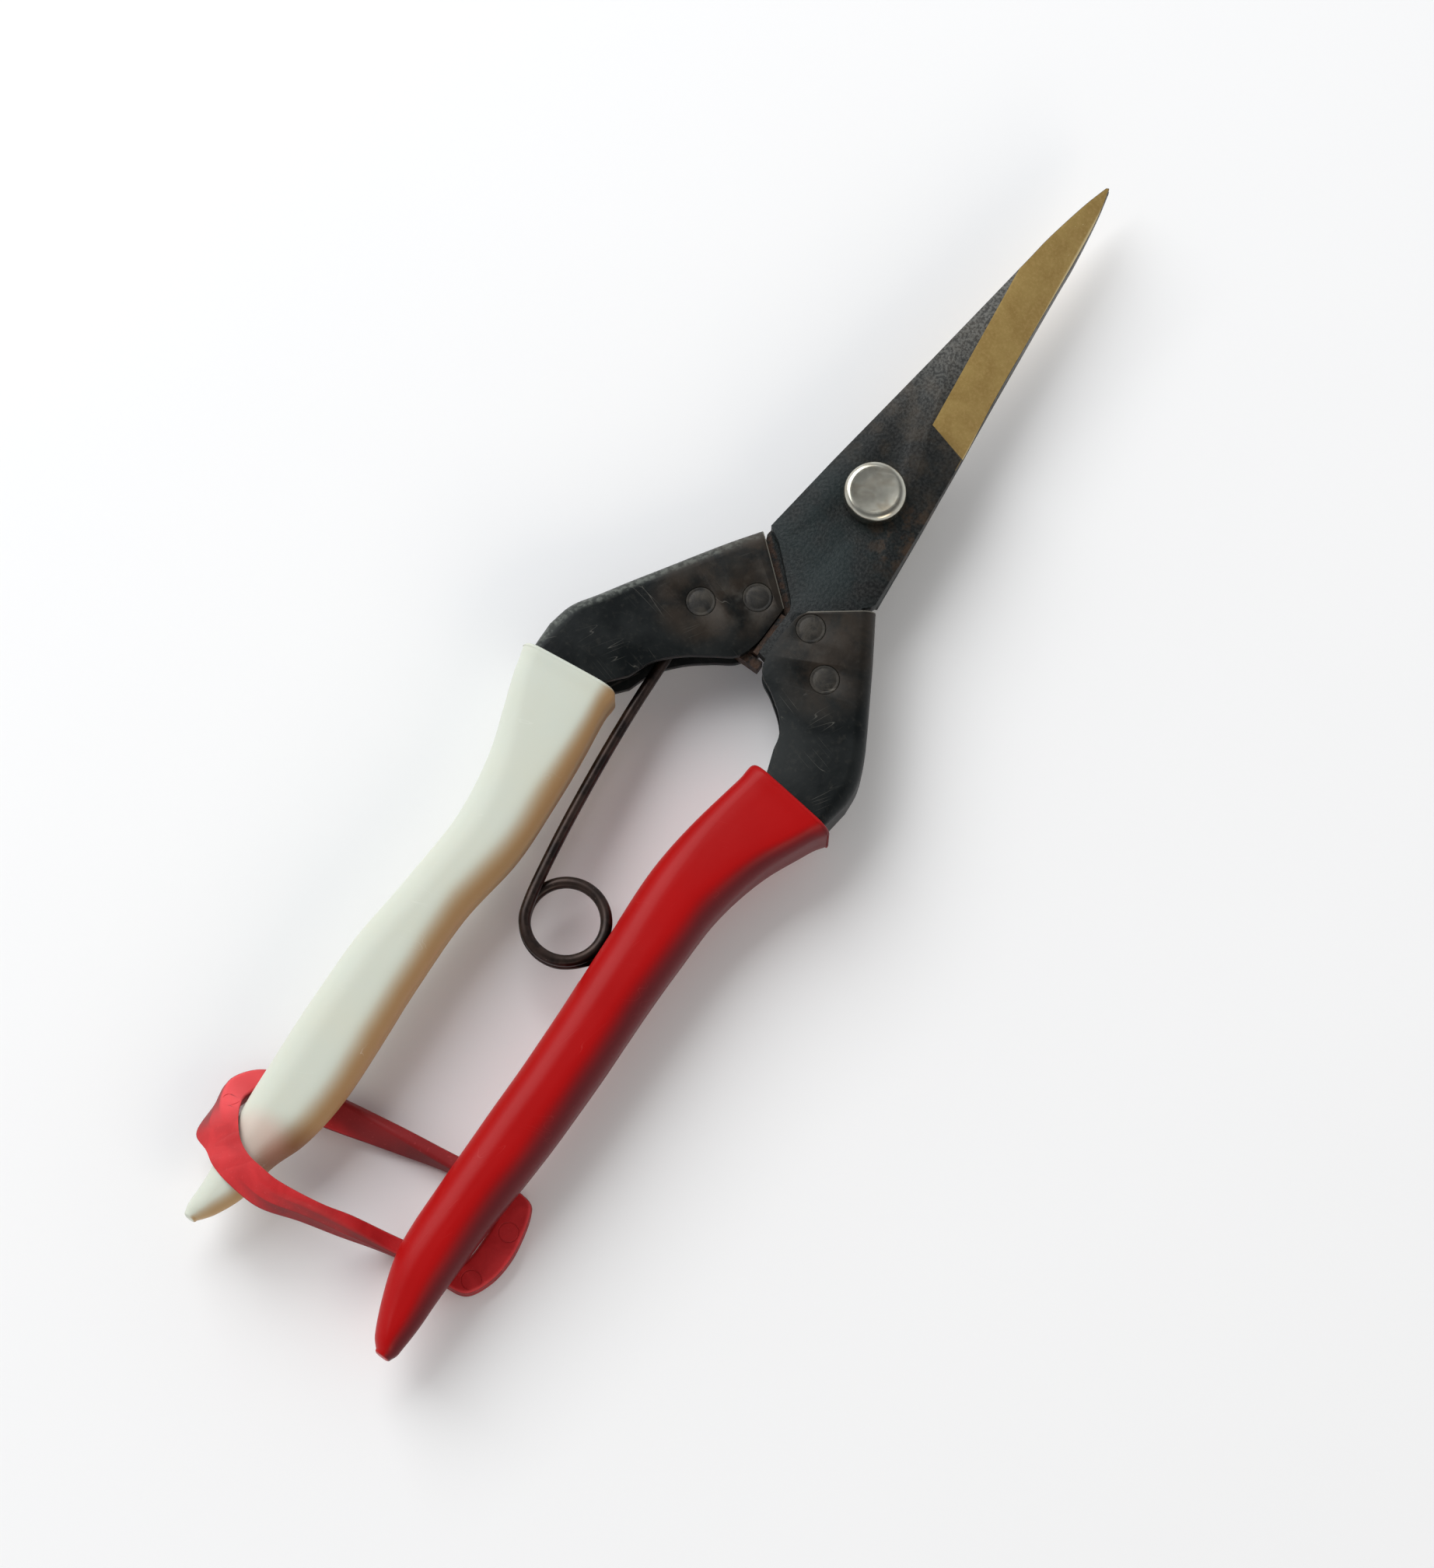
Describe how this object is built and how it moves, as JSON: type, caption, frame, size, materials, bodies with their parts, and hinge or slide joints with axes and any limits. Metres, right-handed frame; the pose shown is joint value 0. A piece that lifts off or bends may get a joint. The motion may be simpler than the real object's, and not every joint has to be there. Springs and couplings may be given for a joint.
{
  "type": "bypass pruner",
  "caption": "Slim hand pruner with two crossed straight blades on a pivot bolt, pressed steel handle shells, soft grips, a coiled return spring and a rubber strap ring.",
  "frame": {"origin": "on the pivot axis, at the end face of the pivot bolt, flush with the nut, which is the plane that the pruner stands on", "axes": "+Y towards the blade tips, +X towards the red handle, +Z along the pivot axis towards the bolt's round head"},
  "size_m": [0.0484, 0.1895, 0.0147],
  "materials": {
    "blade_steel": "blackened carbon steel with a fine rolled grain, ground bright at the bevel",
    "shell_steel": "blackened pressed steel with a brown patina, rubbed brighter on the folds",
    "bright_steel": "polished steel with fine scratches",
    "spring_steel": "oiled dark spring wire",
    "white_vinyl": "dipped off-white vinyl, softly glossy",
    "red_vinyl": "dipped red vinyl, glossy",
    "strap_rubber": "soft red moulded rubber, satin"
  },
  "bodies": {
    "white_half": {"rear_blade": "blade_steel", "left_handle_shell": "shell_steel", "left_upper_rivet": "shell_steel", "left_lower_rivet": "shell_steel", "white_grip": "white_vinyl", "pivot_bolt": "bright_steel", "pivot_washer": "bright_steel", "pivot_nut": "bright_steel"},
    "red_half": {"front_blade": "blade_steel", "right_handle_shell": "shell_steel", "right_upper_rivet": "shell_steel", "right_lower_rivet": "shell_steel", "red_grip": "red_vinyl", "return_spring": "spring_steel"},
    "strap": {"strap_ring": "strap_rubber"}
  },
  "joints": [
    {"name": "pivot", "type": "hinge", "parent": "white_half", "child": "red_half", "pos_m": [0, 0, 0.0084], "axis": [0, 0, 1], "range_deg": [0, 26], "stiffness_Nm_per_rad": 0.12, "springref_deg": 45.84, "deforming": ["return_spring"]},
    {"name": "strap_swing", "type": "hinge", "parent": "white_half", "child": "strap", "pos_m": [-0.0143, -0.118, 0.0084], "axis": [0, 1, 0], "range_deg": [0, 35]}
  ]
}
